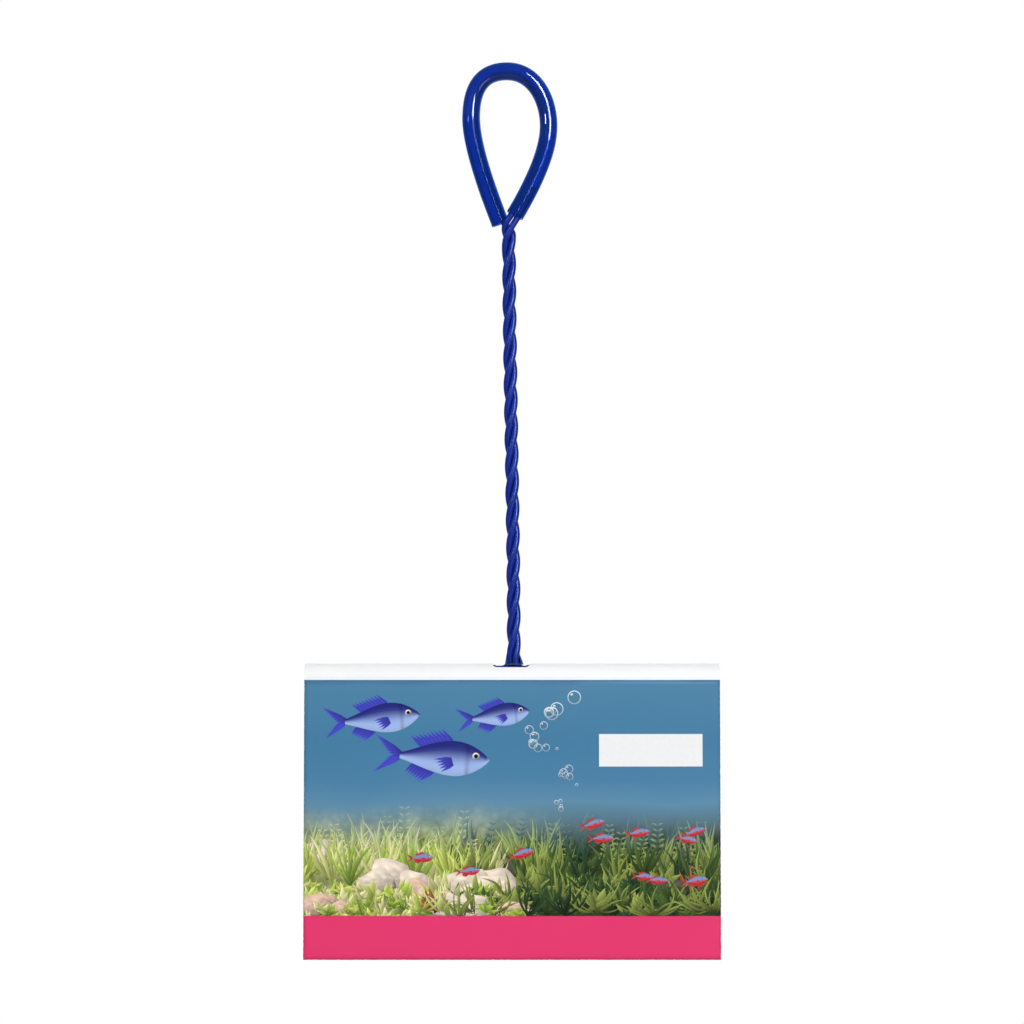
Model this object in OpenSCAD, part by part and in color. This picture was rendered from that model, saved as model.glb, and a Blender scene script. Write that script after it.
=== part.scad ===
// Aquarium fish net: a grip loop in vinyl tube, a handle of three twisted coated wires, a wire frame
// with a folded mesh bag, and a card sleeve that hangs on the frame and slides up the handle.
// Millimetres, +Z up, front towards -Y. The origin is the hang point: the inside of the loop, at its top.

/* [Wire] */
// Diameter of the plastic-coated wire
wire_d = 4; // [3.6:0.1:4.4]
// Gap between two strands of the handle
strand_gap = 0.2; // [0.16:0.02:0.3]
// Gap between the two wires that share the right leg of the grip
pair_gap = 0.2; // [0.1:0.05:0.4]

/* [Grip] */
// Wall of the vinyl tube
grip_wall = 1.35; // [1:0.05:1.6]
// Gap between the wires and the bore of the tube
grip_clear = 0.25; // [0.15:0.05:0.4]
// Width of the loop, between the centre lines of its two sides
loop_w = 48.3; // [44:0.1:56]
// Drop from the hang point to the mouth of the right leg
loop_drop = 83; // [75:1:92]
// Length of the wire's cut end inside the right leg
stub_l = 15.6; // [8:0.2:20]

/* [Handle] */
// Drop from the hang point to the centre of the frame's top bar
handle_drop = 366.8; // [340:0.1:400]
// Full turns that the strands make
twist_turns = 5; // [4:1:6]
// Sideways place of the handle's top, from the hang point
handle_x = 1.2; // [0:0.1:3]
// Sideways drift of the handle from its top to its foot
handle_drift = 3; // [0:0.1:5]

/* [Frame] */
// Overall width of the wire frame
frame_w = 250; // [220:1:280]
// Overall height of the wire frame
frame_h = 172; // [150:1:200]
// Radius of the frame's corners, at the centre of the wire
corner_r = 25; // [15:1:35]
// Sideways place of the frame's middle, from the hang point
frame_x = 3.2; // [0:0.1:5]
// Radius of the bend from the handle into the left half of the top bar
bend_left_r = 10; // [8:0.5:12]
// Radius of the bend from the handle into the right half of the top bar
bend_right_r = 5.5; // [5:0.5:7]

/* [Bag] */
// Thickness of the hem round the frame wire
hem_t = 0.4; // [0.3:0.05:0.6]
// Slack of the hem round the wire
hem_clear = 0.05; // [0.05:0.01:0.1]
// Thickness of the bag's folded cloth
cloth_t = 0.6; // [0.4:0.05:0.8]
// Thickness of the gathered cloth at the foot of the handle
gather_t = 0.3; // [0.2:0.05:0.4]
// Gap between the folded bag and the hem in front of it
bag_gap = 0.3; // [0.2:0.05:0.4]
// Height of the bag's lower fold above the bottom bar
fold_low = 12; // [9:1:20]
// Depth of the bag's upper fold below the top bar
fold_high = 28; // [10:1:60]

/* [Sleeve] */
// Thickness of the printed board
board_t = 0.5; // [0.35:0.05:0.6]
// Outer radius of the rounded top fold
fold_r = 9.5; // [8.8:0.1:12]
// Gap between the hem on the top bar and the board above it
seat_gap = 0.3; // [0.2:0.05:0.5]
// Gap between the hem and each side wall
side_clear = 2.8; // [1.5:0.1:5]
// Length of the sleeve below the hem on the bottom bar
sleeve_tail = 7.6; // [4:0.1:20]
// Outward lean of the front and the back, from the fold to the open bottom
flare = 8; // [4:0.5:12]
// Gap between the handle and each long side of the slot
slot_side_clear = 1.2; // [0.9:0.05:2]
// Gap between the bends of the wires and each end of the slot
slot_end_clear = 1.8; // [1:0.1:3]
// Radius of the slot's corners
slot_corner_r = 2.5; // [1.5:0.1:4]
// Width of the glue tabs
tab_w = 14; // [8:1:20]
// Distance of the glue tabs from the fold and from the bottom edge
tab_inset = 4; // [2:0.5:8]

/* [Hidden] */

// Facets of true round forms
$fn = 48;
// Sides of a swept wire, and of the swept grip tube
wire_sides = 10;
grip_sides = 16;
// Rings in one turn of the twist, in the run-in below the grip, and in a quarter bend
turn_rings = 18;
run_in_rings = 18;
bend_rings = 6;
// Overrun of cuts
cut = 0.5;

wire_colour = [0.09, 0.15, 0.5];
grip_colour = [0.1, 0.2, 0.6, 0.85];
cloth_colour = [0.1, 0.35, 0.42];
board_colour = [0.32, 0.5, 0.64];
inside_colour = [0.93, 0.93, 0.91];

// Wire and grip sections
wire_r = wire_d / 2;
pair_r = (wire_d + pair_gap) / 2;
bore_r = pair_r + wire_r + grip_clear;
grip_r = bore_r + grip_wall;
strand_r = (wire_d + strand_gap) / sqrt(3);
handle_r = strand_r + wire_r;

// Heights along the handle, and the pitch that brings the strands to their bends in whole turns
run_in_share = 0.287;
slow_share = 0.24;
bar_z = -handle_drop;
foot_z = bar_z + bend_left_r;
mouth_z = -loop_drop;
twist_pitch = (mouth_z - foot_z) / (twist_turns + run_in_share + slow_share / 2);
phase_z = mouth_z - run_in_share * twist_pitch;
slow_z = slow_share * twist_pitch;
foot_x = handle_x + handle_drift;

// Mouths of the grip's legs: across in wires, down in pitches
right_mouth_shares = [1.15, -0.89, 0];
left_mouth_shares = [-1.46, 1.05, -0.085];
right_lean_shares = [-7.3, -1.26, -1];
left_lean_shares = [5, 0.67, -1];
function in_handle(s) = [s.x * wire_d, s.y * wire_d, s.z * twist_pitch];
mouth_right = [handle_x, 0, mouth_z] + in_handle(right_mouth_shares);
mouth_left = [handle_x, 0, mouth_z] + in_handle(left_mouth_shares);
lean_right = unit(in_handle(right_lean_shares));
lean_left = unit(in_handle(left_lean_shares));

// Depths below the mouths, in pitches, at which each strand has joined the twist
join_right_share = 0.21;
join_left_share = 0.49;
join_cut_share = 0.365;
run_in_depth_share = 0.5;

// Teardrop of the loop: its widest places and the reach of its curve handles
left_x_share = -0.463;
right_x_share = 0.537;
left_z_share = -0.284;
right_z_share = -0.341;
left_leg_shares = [0.243, 0.201];
left_shoulder_shares = [0.216, 0.338];
right_shoulder_shares = [0.358, 0.195];
right_leg_shares = [0.11, 0.421];
// How far up the right leg's curve a length of its chord reaches
stub_reach_share = 0.78;

// Frame, hem and bag places
hem_in_r = wire_r + hem_clear;
hem_r = hem_in_r + hem_t;
left_bar_x = frame_x - frame_w / 2 + wire_r;
right_bar_x = frame_x + frame_w / 2 - wire_r;
bottom_z = bar_z - frame_h + wire_d;
left_bend_x = foot_x + strand_r * cos(240) - bend_left_r;
right_bend_x = foot_x + strand_r + bend_right_r;

// Sleeve places
under_z = bar_z + hem_r + seat_gap;
crest_z = under_z + board_t;
fold_z = crest_z - fold_r;
fold_in_r = fold_r - board_t;
sleeve_left_x = left_bar_x - hem_r - side_clear - board_t;
sleeve_right_x = right_bar_x + hem_r + side_clear + board_t;
sleeve_z = bottom_z - hem_r - sleeve_tail;
slot_left_x = left_bend_x - slot_end_clear;
slot_right_x = right_bend_x + slot_end_clear;
slot_half_d = handle_r + slot_side_clear;

// Layers of the folded bag, front to back
layer_front_y = hem_r + bag_gap + cloth_t / 2;
layer_back_y = fold_in_r - bag_gap - cloth_t / 2;
layer_mid_y = (layer_front_y + layer_back_y) / 2;
layer_bend_r = (layer_back_y - layer_front_y) / 4;

// Curves and blends
function unit(v) = v / norm(v);
function within(t) = min(max(t, 0), 1);
function soft(t) = let (c = within(t)) c * c * (3 - 2 * c);
function softer(t) = let (c = within(t)) c * c * c * (c * (6 * c - 15) + 10);
function bezier(a, b, c, d, t) =
    a * pow(1 - t, 3) + 3 * b * t * pow(1 - t, 2) + 3 * c * t * t * (1 - t) + d * pow(t, 3);

// Points of a ring of n sides and radius r round c, square to the direction t
function ring(c, t, r, n) =
    let (u = unit(cross([0, 1, 0], t)), v = cross(t, u))
    [for (i = [0 : n - 1]) c + r * (cos(360 * i / n) * u + sin(360 * i / n) * v)];

// Directions along a path whose two end directions are given
function directions(path, first, last) = let (m = len(path) - 1) [
    for (i = [0 : m]) i == 0 ? first : i == m ? last : unit(path[i + 1] - path[i - 1])
];

// Two triangles for each side of a run of rings; a flip turns them inwards
function skin(rings, n, start, flip) = [
    for (k = [0 : rings - 2], i = [0 : n - 1])
        let (a = start + k * n + i, b = start + k * n + (i + 1) % n, c = b + n, d = a + n)
        each flip ? [[a, c, d], [a, b, c]] : [[a, d, c], [a, c, b]]
];

// Flat ring between an outer and an inner rim
function rim(n, outer, inner, flip) = [
    for (i = [0 : n - 1])
        let (a = outer + i, b = outer + (i + 1) % n, c = inner + (i + 1) % n, d = inner + i)
        each flip ? [[a, c, b], [a, d, c]] : [[a, b, c], [a, c, d]]
];

module swept_rod(path, first, last, r, n) {
    t = directions(path, first, last);
    m = len(path);
    points = [for (k = [0 : m - 1]) each ring(path[k], t[k], r, n)];
    ends = [[for (i = [0 : n - 1]) i], [for (i = [n - 1 : -1 : 0]) (m - 1) * n + i]];
    polyhedron(points, concat(ends, skin(m, n, 0, false)));
}

module swept_tube(path, first, last, outer_r, inner_r, n) {
    t = directions(path, first, last);
    m = len(path);
    outer = [for (k = [0 : m - 1]) each ring(path[k], t[k], outer_r, n)];
    inner = [for (k = [0 : m - 1]) each ring(path[k], t[k], inner_r, n)];
    far = (m - 1) * n;
    polyhedron(
        concat(outer, inner),
        concat(
            skin(m, n, 0, false), skin(m, n, m * n, true),
            rim(n, 0, m * n, false), rim(n, far, m * n + far, true)
        )
    );
}

// Centre line of the grip, from the mouth of the left leg over the top to the mouth of the right leg
loop_left = [left_x_share * loop_w, 0, left_z_share * loop_drop];
loop_right = [right_x_share * loop_w, 0, right_z_share * loop_drop];
loop_top = [0, 0, grip_r];
function left_leg(t) = bezier(
    mouth_left, mouth_left - lean_left * left_leg_shares[0] * loop_drop,
    loop_left - [0, 0, left_leg_shares[1] * loop_drop], loop_left, t
);
function left_shoulder(t) = bezier(
    loop_left, loop_left + [0, 0, left_shoulder_shares[0] * loop_drop],
    loop_top - [left_shoulder_shares[1] * loop_w, 0, 0], loop_top, t
);
function right_shoulder(t) = bezier(
    loop_top, loop_top + [right_shoulder_shares[0] * loop_w, 0, 0],
    loop_right + [0, 0, right_shoulder_shares[1] * loop_drop], loop_right, t
);
function right_leg(t) = bezier(
    loop_right, loop_right - [0, 0, right_leg_shares[0] * loop_drop],
    mouth_right - lean_right * right_leg_shares[1] * loop_drop, mouth_right, t
);
leg_steps = 10;
shoulder_steps = 8;
grip_path = [
    for (i = [0 : leg_steps - 1]) left_leg(i / leg_steps),
    for (i = [0 : shoulder_steps - 1]) left_shoulder(i / shoulder_steps),
    for (i = [0 : shoulder_steps - 1]) right_shoulder(i / shoulder_steps),
    for (i = [0 : leg_steps]) right_leg(i / leg_steps),
];

// Across the tube within the plane of the loop, towards the middle of the loop
function inwards(t) = unit([t.z, 0, -t.x]);

module grip_tube() {
    color(grip_colour) swept_tube(grip_path, -lean_left, lean_right, grip_r, bore_r, grip_sides);
}

// The wire lies against the inner side of the bore all round the loop
module grip_wire() {
    t = directions(grip_path, -lean_left, lean_right);
    path = [for (i = [0 : len(t) - 1]) grip_path[i] + pair_r * inwards(t[i])];
    color(wire_colour) swept_rod(path, -lean_left, lean_right, wire_r, wire_sides);
}

// The other wire's cut end, side by side with it in the right leg
module grip_stub() {
    steps = 6;
    back = within(stub_l / norm(loop_right - mouth_right)) * stub_reach_share;
    path = [for (i = [0 : steps]) right_leg(1 - back * (steps - i) / steps)];
    t = directions(path, unit(path[1] - path[0]), lean_right);
    beside = [for (i = [0 : steps]) path[i] - pair_r * inwards(t[i])];
    color(wire_colour) swept_rod(beside, t[0], lean_right, wire_r, wire_sides);
}

// The twist: the axis drifts sideways, and the turning slows down to a stop at the foot
function axis_x(z) = handle_x + handle_drift * soft((mouth_z - z) / (mouth_z - foot_z));
function turned_z(z) = let (u = z - foot_z)
    u >= slow_z ? z : foot_z + u * u / (2 * slow_z) + slow_z / 2;
function strand_angle(z, k) = 360 * (turned_z(z) - phase_z) / twist_pitch + 120 * k;
function strand_point(z, k) = [
    axis_x(z) + strand_r * cos(strand_angle(z, k)), strand_r * sin(strand_angle(z, k)), z
];

// Heights of a strand's rings: close together in the run-in, then evenly spaced down to the foot
function strand_heights(top) =
    let (
        low = top - run_in_depth_share * twist_pitch,
        n = round((low - foot_z) / twist_pitch * turn_rings)
    ) [
        for (i = [0 : run_in_rings - 1]) top + (low - top) * i / run_in_rings,
        for (i = [0 : n]) low + (foot_z - low) * i / n,
    ];

// A strand leaves its leg in a straight line and is blended into the twist
function strand_path(start, lean, join, k) = [
    for (z = strand_heights(start.z))
        let (
            straight = start + lean * (z - start.z) / lean.z,
            w = softer((start.z - z) / (join * twist_pitch))
        )
        straight * (1 - w) + strand_point(z, k) * w
];

// Quarter bend from straight down at p to sideways along dx, brought into the plane of the frame
bend_hold_share = 0.22;
function quarter_bend(p, dx, r) = [
    for (i = [1 : bend_rings])
        let (
            a = 90 * i / bend_rings,
            in_plane = softer((i / bend_rings - bend_hold_share) / (1 - bend_hold_share))
        )
        [p.x + dx * r * (1 - cos(a)), p.y * (1 - in_plane), p.z - r * sin(a)]
];

// From the left leg of the grip to the right half of the frame's top bar
module strand_right() {
    start = mouth_left + pair_r * inwards(-lean_left);
    foot = strand_point(foot_z, 0);
    bend = [foot.x, foot.y, bar_z + bend_right_r];
    run = strand_path(start, lean_left, join_right_share, 0);
    path = concat(run, [bend], quarter_bend(bend, 1, bend_right_r));
    color(wire_colour) swept_rod(path, lean_left, [1, 0, 0], wire_r, wire_sides);
}

// From the cut end in the grip to the left half of the frame's top bar
module strand_left() {
    start = mouth_right - pair_r * inwards(lean_right);
    foot = strand_point(foot_z, 2);
    run = strand_path(start, lean_right, join_left_share, 2);
    path = concat(run, quarter_bend(foot, -1, bend_left_r));
    color(wire_colour) swept_rod(path, lean_right, [-1, 0, 0], wire_r, wire_sides);
}

// From the wire of the loop down to its own cut end, behind the two bends
module strand_cut() {
    start = mouth_right + pair_r * inwards(lean_right);
    foot = strand_point(foot_z, 1);
    end = [foot.x, foot.y, bar_z + wire_r + seat_gap];
    path = concat(strand_path(start, lean_right, join_cut_share, 1), [end]);
    color(wire_colour) swept_rod(path, lean_right, [0, 0, -1], wire_r, wire_sides);
}

// Straight wire along X, and down along Z
module rod_x(x0, x1, z, r) {
    translate([x0, 0, z]) rotate([0, 90, 0]) cylinder(r = r, h = x1 - x0);
}
module rod_z(x, z0, z1, r) {
    translate([x, 0, z0]) cylinder(r = r, h = z1 - z0);
}

// Quarter turn of wire in the plane of the frame, from the angle a on
module corner(x, z, a, r) {
    translate([x, 0, z]) rotate([90, -a, 0])
        rotate_extrude(angle = 90) translate([corner_r, 0]) circle(r = r);
}

// One side of the frame with its two corners; side is -1 on the left and 1 on the right
module frame_side(side, r) {
    x = side < 0 ? left_bar_x : right_bar_x;
    rod_z(x, bottom_z + corner_r, bar_z - corner_r, r);
    corner(x - side * corner_r, bar_z - corner_r, side < 0 ? 90 : 0, r);
    corner(x - side * corner_r, bottom_z + corner_r, side < 0 ? 180 : 270, r);
}

module frame_top_left() {
    color(wire_colour) rod_x(left_bar_x + corner_r, left_bend_x, bar_z, wire_r);
}
module frame_top_right() {
    color(wire_colour) rod_x(right_bend_x, right_bar_x - corner_r, bar_z, wire_r);
}
module frame_bottom() {
    color(wire_colour) rod_x(left_bar_x + corner_r, right_bar_x - corner_r, bottom_z, wire_r);
}
module frame_left_side() {
    color(wire_colour) frame_side(-1, wire_r);
}
module frame_right_side() {
    color(wire_colour) frame_side(1, wire_r);
}

// The whole run of the frame, open where the handle comes down
module frame_run(r, extra) {
    rod_x(left_bar_x + corner_r, left_bend_x + extra, bar_z, r);
    rod_x(right_bend_x - extra, right_bar_x - corner_r, bar_z, r);
    rod_x(left_bar_x + corner_r, right_bar_x - corner_r, bottom_z, r);
    frame_side(-1, r);
    frame_side(1, r);
}

module net_hem() {
    color(cloth_colour) difference() {
        frame_run(hem_r, 0);
        frame_run(hem_in_r, cut);
    }
}

// Cloth drawn up round the splaying wires: rings that widen from the handle to the bends
gather_levels_share = [0.1, 0.34, 0.56, 0.78, 0.95];
gather_sides = 20;
gather_clear = 0.3;
gather_power = 0.68;
function bend_edge(r, depth) = r - sqrt(max(pow(r - wire_r, 2) - pow(max(depth, 0), 2), 0));
function signed_pow(v) = sign(v) * pow(abs(v), gather_power);
function gather_ring(level, out) =
    let (
        z = foot_z - level * (bend_left_r - wire_r),
        left_edge = bend_edge(bend_left_r, foot_z - z) - bend_left_r,
        right_edge = bend_edge(bend_right_r, bar_z + bend_right_r - z) - bend_right_r,
        left = min(foot_x - handle_r, left_bend_x - left_edge),
        right = max(foot_x + handle_r, right_bend_x + right_edge),
        mid = (left + right) / 2,
        half_w = (right - left) / 2 + out,
        half_d = handle_r + out
    )
    [for (i = [0 : gather_sides - 1]) let (a = -360 * i / gather_sides)
        [mid + half_w * signed_pow(cos(a)), half_d * signed_pow(sin(a)), z]];
module net_gather() {
    n = gather_sides;
    m = len(gather_levels_share);
    outer = [for (s = gather_levels_share) each gather_ring(s, gather_clear + gather_t)];
    inner = [for (s = gather_levels_share) each gather_ring(s, gather_clear)];
    far = (m - 1) * n;
    color(cloth_colour) polyhedron(
        concat(outer, inner),
        concat(
            skin(m, n, 0, false), skin(m, n, m * n, true),
            rim(n, 0, m * n, false), rim(n, far, m * n + far, true)
        )
    );
}

// Arc of points [y, z] for the bag's folds
function arc(c, r, from, to, n) = [
    for (i = [0 : n]) let (a = from + (to - from) * i / n) c + r * [cos(a), sin(a)]
];

// Centre line of the folded cloth, from the top bar behind the frame to the bottom bar
low_fold_z = bottom_z + fold_low;
high_fold_z = bar_z - fold_high;
back_turn_r = layer_back_y - layer_front_y;
fold_steps = 8;
bag_line = concat(
    [[layer_front_y, bar_z]],
    arc([layer_front_y + layer_bend_r, low_fold_z], layer_bend_r, -180, 0, fold_steps),
    arc([layer_mid_y + layer_bend_r, high_fold_z], layer_bend_r, 180, 0, fold_steps),
    arc([layer_front_y, bottom_z + back_turn_r], back_turn_r, 0, -90, fold_steps)
);

// Outline of a cloth of thickness t that follows a line of points
function across(v) = unit([-v.y, v.x]);
function line_normals(line) = let (m = len(line) - 1)
    [for (i = [0 : m]) across(line[min(i + 1, m)] - line[max(i - 1, 0)])];
function thick_line(line, t) = let (n = line_normals(line), m = len(line) - 1) concat(
    [for (i = [0 : m]) line[i] + n[i] * t / 2],
    [for (i = [m : -1 : 0]) line[i] - n[i] * t / 2]
);

// A flat shape in Y and Z, drawn out along X
module along_x(x0, x1) {
    translate([x0, 0, 0]) rotate([90, 0, 90]) linear_extrude(x1 - x0) children();
}

// Rectangle with round corners, from its lowest corner
module round_rect(w, h, r) {
    translate([r, 0]) square([w - 2 * r, h]);
    translate([0, r]) square([w, h - 2 * r]);
    for (x = [r, w - r], y = [r, h - r]) translate([x, y]) circle(r = r);
}

module net_bag() {
    w = right_bar_x - left_bar_x;
    h = bar_z - bottom_z;
    color(cloth_colour) intersection() {
        along_x(left_bar_x, right_bar_x) polygon(thick_line(bag_line, cloth_t));
        translate([left_bar_x, fold_r, bottom_z - cloth_t]) rotate([90, 0, 0])
            linear_extrude(fold_r) round_rect(w, h + cloth_t * 2, corner_r);
    }
}

// Y of the inner face of the front at a height, and the panels' height
panel_h = fold_z - sleeve_z;
function panel_y(z) = fold_in_r + flare * (fold_z - z) / panel_h;

module sleeve_fold() {
    color(inside_colour) difference() {
        along_x(sleeve_left_x, sleeve_right_x) difference() {
            translate([0, fold_z]) circle(r = fold_r);
            translate([0, fold_z]) circle(r = fold_in_r);
            translate([-fold_r - cut, fold_z - fold_r - cut]) square([2 * (fold_r + cut), fold_r + cut]);
        }
        translate([slot_left_x, -slot_half_d, fold_z]) linear_extrude(fold_r + cut)
            round_rect(slot_right_x - slot_left_x, 2 * slot_half_d, slot_corner_r);
    }
}

// Front or back panel; side is -1 at the front and 1 at the back
module sleeve_panel(side) {
    along_x(sleeve_left_x, sleeve_right_x) polygon([
        [side * panel_y(fold_z), fold_z], [side * (panel_y(fold_z) + board_t), fold_z],
        [side * (panel_y(sleeve_z) + board_t), sleeve_z], [side * panel_y(sleeve_z), sleeve_z],
    ]);
}
module sleeve_front() {
    color(board_colour) sleeve_panel(-1);
}
module sleeve_back() {
    color(board_colour) sleeve_panel(1);
}

// Side wall between the two panels, with the tab that is glued to the back of the front panel
module sleeve_side(wall_x, tab_x) {
    top = fold_z - tab_inset;
    low = sleeve_z + tab_inset;
    along_x(wall_x, wall_x + board_t) polygon([
        [-panel_y(fold_z), fold_z], [panel_y(fold_z), fold_z],
        [panel_y(sleeve_z), sleeve_z], [-panel_y(sleeve_z), sleeve_z],
    ]);
    along_x(tab_x, tab_x + tab_w) polygon([
        [-panel_y(top), top], [board_t - panel_y(top), top],
        [board_t - panel_y(low), low], [-panel_y(low), low],
    ]);
}
module sleeve_left_side() {
    color(inside_colour) sleeve_side(sleeve_left_x, sleeve_left_x + board_t);
}
module sleeve_right_side() {
    color(inside_colour) sleeve_side(sleeve_right_x - board_t, sleeve_right_x - board_t - tab_w);
}

grip_tube();
grip_wire();
grip_stub();
strand_left();
strand_right();
strand_cut();
frame_top_left();
frame_left_side();
frame_bottom();
frame_right_side();
frame_top_right();
net_hem();
net_gather();
net_bag();
sleeve_fold();
sleeve_front();
sleeve_back();
sleeve_left_side();
sleeve_right_side();
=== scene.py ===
"""A net for fish tanks, hung by its grip, with a card sleeve over its folded bag.

Lengths are in millimetres until a piece is finished, when its mesh is brought to metres.
"""
import math
import random

import bmesh
import bpy
from mathutils import Matrix, Vector, noise


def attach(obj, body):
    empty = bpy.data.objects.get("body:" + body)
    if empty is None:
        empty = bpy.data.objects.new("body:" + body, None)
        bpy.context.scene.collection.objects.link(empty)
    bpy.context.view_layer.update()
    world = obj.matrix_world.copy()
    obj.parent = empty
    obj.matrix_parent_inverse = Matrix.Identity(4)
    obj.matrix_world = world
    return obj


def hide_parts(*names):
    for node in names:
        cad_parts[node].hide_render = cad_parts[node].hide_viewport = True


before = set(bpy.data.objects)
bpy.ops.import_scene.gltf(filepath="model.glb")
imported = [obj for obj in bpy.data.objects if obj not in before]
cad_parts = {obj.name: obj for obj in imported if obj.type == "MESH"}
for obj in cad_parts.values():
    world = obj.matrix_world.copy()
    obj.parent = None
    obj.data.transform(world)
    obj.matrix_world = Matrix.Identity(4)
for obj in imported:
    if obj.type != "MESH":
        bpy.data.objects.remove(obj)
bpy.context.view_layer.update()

MM = 0.001
scene = bpy.context.scene


# Values of the wire, the grip and the handle, as the CAD source has them
WIRE_R = 2.0
PAIR_R = 2.1
GRIP_R = 5.7
BORE_R = 4.35
LOOP_W = 48.3
LOOP_DROP = 83.0
STUB_L = 15.6
STUB_SHARE = 0.78
STRAND_GAP = 0.2
STRAND_R = (2 * WIRE_R + STRAND_GAP) / math.sqrt(3)
HANDLE_R = STRAND_R + WIRE_R
HANDLE_X = 1.2
HANDLE_DRIFT = 3.0
BAR_Z = -366.8
BEND_LEFT_R = 10.0
BEND_RIGHT_R = 5.5
FOOT_Z = BAR_Z + BEND_LEFT_R
FOOT_X = HANDLE_X + HANDLE_DRIFT
RUN_IN_SHARE = 0.287
SLOW_SHARE = 0.24
TURNS = 5
PITCH = (-LOOP_DROP - FOOT_Z) / (TURNS + RUN_IN_SHARE + SLOW_SHARE / 2)
PHASE_Z = -LOOP_DROP - RUN_IN_SHARE * PITCH

# Where the looks follow the photograph beyond the CAD source: longer mouths, and a longer twist
MOUTH_OVER = 1.9
TWIST_END_Z = BAR_Z + BEND_RIGHT_R
SLOW_Z = 4.0

# Values of the frame, the hem and the bag
FRAME_NODES = ("frame_top_left", "frame_left_side", "frame_bottom", "frame_right_side", "frame_top_right")
CORNER_R = 25.0
LEFT_BAR_X = -119.8
RIGHT_BAR_X = 126.2
BOTTOM_Z = -534.8
LEFT_BEND_X = FOOT_X + STRAND_R * math.cos(math.radians(240)) - BEND_LEFT_R
RIGHT_BEND_X = FOOT_X + STRAND_R + BEND_RIGHT_R
HEM_R = 2.45
LAYER_FRONT_Y = 3.05
LAYER_MID_Y = 5.725
LAYER_BACK_Y = 8.4
LOW_FOLD_Z = BOTTOM_Z + 12
HIGH_FOLD_Z = BAR_Z - 28
FLANGE = 6.2
STITCH_INSET = 4.4

# Values of the card sleeve
BOARD_T = 0.5
FOLD_R = 9.5
FOLD_Z = -373.05
SLEEVE_Z = -544.85
SLEEVE_LEFT_X = -125.55
SLEEVE_RIGHT_X = 131.95
SLEEVE_W = SLEEVE_RIGHT_X - SLEEVE_LEFT_X
PANEL_H = FOLD_Z - SLEEVE_Z
FLARE = 8.0
PANEL_BOW = 0.8
BAND_H = 26.9

AHEAD = Vector((0, -1, 0))
BACK = Vector((0, 1, 0))
LEFT = Vector((-1, 0, 0))
RIGHT = Vector((1, 0, 0))
UP = Vector((0, 0, 1))


def within(share):
    return min(max(share, 0.0), 1.0)


def soft(share):
    share = within(share)
    return share * share * (3 - 2 * share)


def softer(share):
    share = within(share)
    return share ** 3 * (share * (6 * share - 15) + 10)


def between(low, high, share):
    return low + (high - low) * share


def circle(share, radius=1.0):
    return radius * math.cos(math.tau * share), radius * math.sin(math.tau * share)


def tone(red, green, blue):
    """A colour given as it is printed, 0 to 255, as linear light."""
    def linear(value):
        value /= 255
        return value / 12.92 if value <= 0.04045 else ((value + 0.055) / 1.055) ** 2.4
    return (linear(red), linear(green), linear(blue), 1.0)


# Materials


class Recipe:
    """The nodes of one finish."""

    def __init__(self, tree):
        self.tree = tree

    def node(self, kind, inputs=None, **settings):
        made = self.tree.nodes.new("ShaderNode" + kind)
        for key, value in settings.items():
            setattr(made, key, value)
        for key, value in (inputs or {}).items():
            self.feed(made.inputs[key], value)
        return made

    def feed(self, socket, value):
        if isinstance(value, bpy.types.NodeSocket):
            self.tree.links.new(value, socket)
        else:
            socket.default_value = value

    def math(self, operation, *values):
        return self.node("Math", dict(enumerate(values)), operation=operation).outputs[0]

    def mix(self, share, low, high, blend="MIX"):
        made = self.node("Mix", {0: share, 6: low, 7: high}, data_type="RGBA", blend_type=blend)
        return made.outputs[2]

    def spread(self, value, low, high, to_low=0.0, to_high=1.0):
        made = self.node("MapRange", {0: value, 1: low, 2: high, 3: to_low, 4: to_high})
        return made.outputs[0]

    def ramp(self, value, stops):
        made = self.node("ValToRGB", {0: value})
        marks = made.color_ramp.elements
        while len(marks) < len(stops):
            marks.new(0.5)
        for mark, (place, colour) in zip(marks, stops):
            mark.position = place
            mark.color = colour
        return made.outputs[0]

    def place(self, kind="Object"):
        return self.node("TexCoord").outputs[kind]

    def parts(self, place):
        return self.node("SeparateXYZ", {0: place}).outputs

    def noise(self, place, scale, detail, rough=0.5, output=0):
        inputs = {"Vector": place, "Scale": scale, "Detail": detail, "Roughness": rough}
        return self.node("TexNoise", inputs).outputs[output]


FINE_SHARE = 0.35
GRAIN_RANGE = (0.3, 0.7)
SLACK = 3.0
KNOT_SHARE = 1.5
WEAR_W = 0.4


def grain(r, fine, broad):
    """Shade and height of the fine unevenness of a moulded, coated or printed surface."""
    place = r.place()
    shade = r.noise(place, broad, 2.0)
    fine_part = r.math("MULTIPLY", r.noise(place, fine, 3.0), FINE_SHARE)
    return shade, r.math("ADD", fine_part, r.math("MULTIPLY", shade, 1 - FINE_SHARE))


def weave(r, pitch, thread):
    """Cover, height and shade of a slack diamond mesh, on unrolled coordinates in millimetres."""
    place = r.place("UV")
    pull = {0: r.noise(place, 0.07, 1.0, output=1), 1: (SLACK, SLACK, 0.0), 2: place}
    x, y, _ = r.parts(r.node("VectorMath", pull, operation="MULTIPLY_ADD").outputs[0])
    along = [r.math("DIVIDE", r.math(way, x, y), pitch) for way in ("ADD", "SUBTRACT")]
    from_thread = [r.math("ABSOLUTE", r.math("SUBTRACT", r.math("FRACT", line), 0.5)) for line in along]
    nearest = r.math("MINIMUM", *from_thread)
    knot = r.math("LESS_THAN", r.math("MAXIMUM", *from_thread), thread * KNOT_SHARE)
    cover = r.math("MAXIMUM", r.math("LESS_THAN", nearest, thread), knot)
    height = r.math("SUBTRACT", 1.0, r.math("DIVIDE", nearest, thread))
    return cover, height, r.noise(place, 0.05, 3.0)


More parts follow.
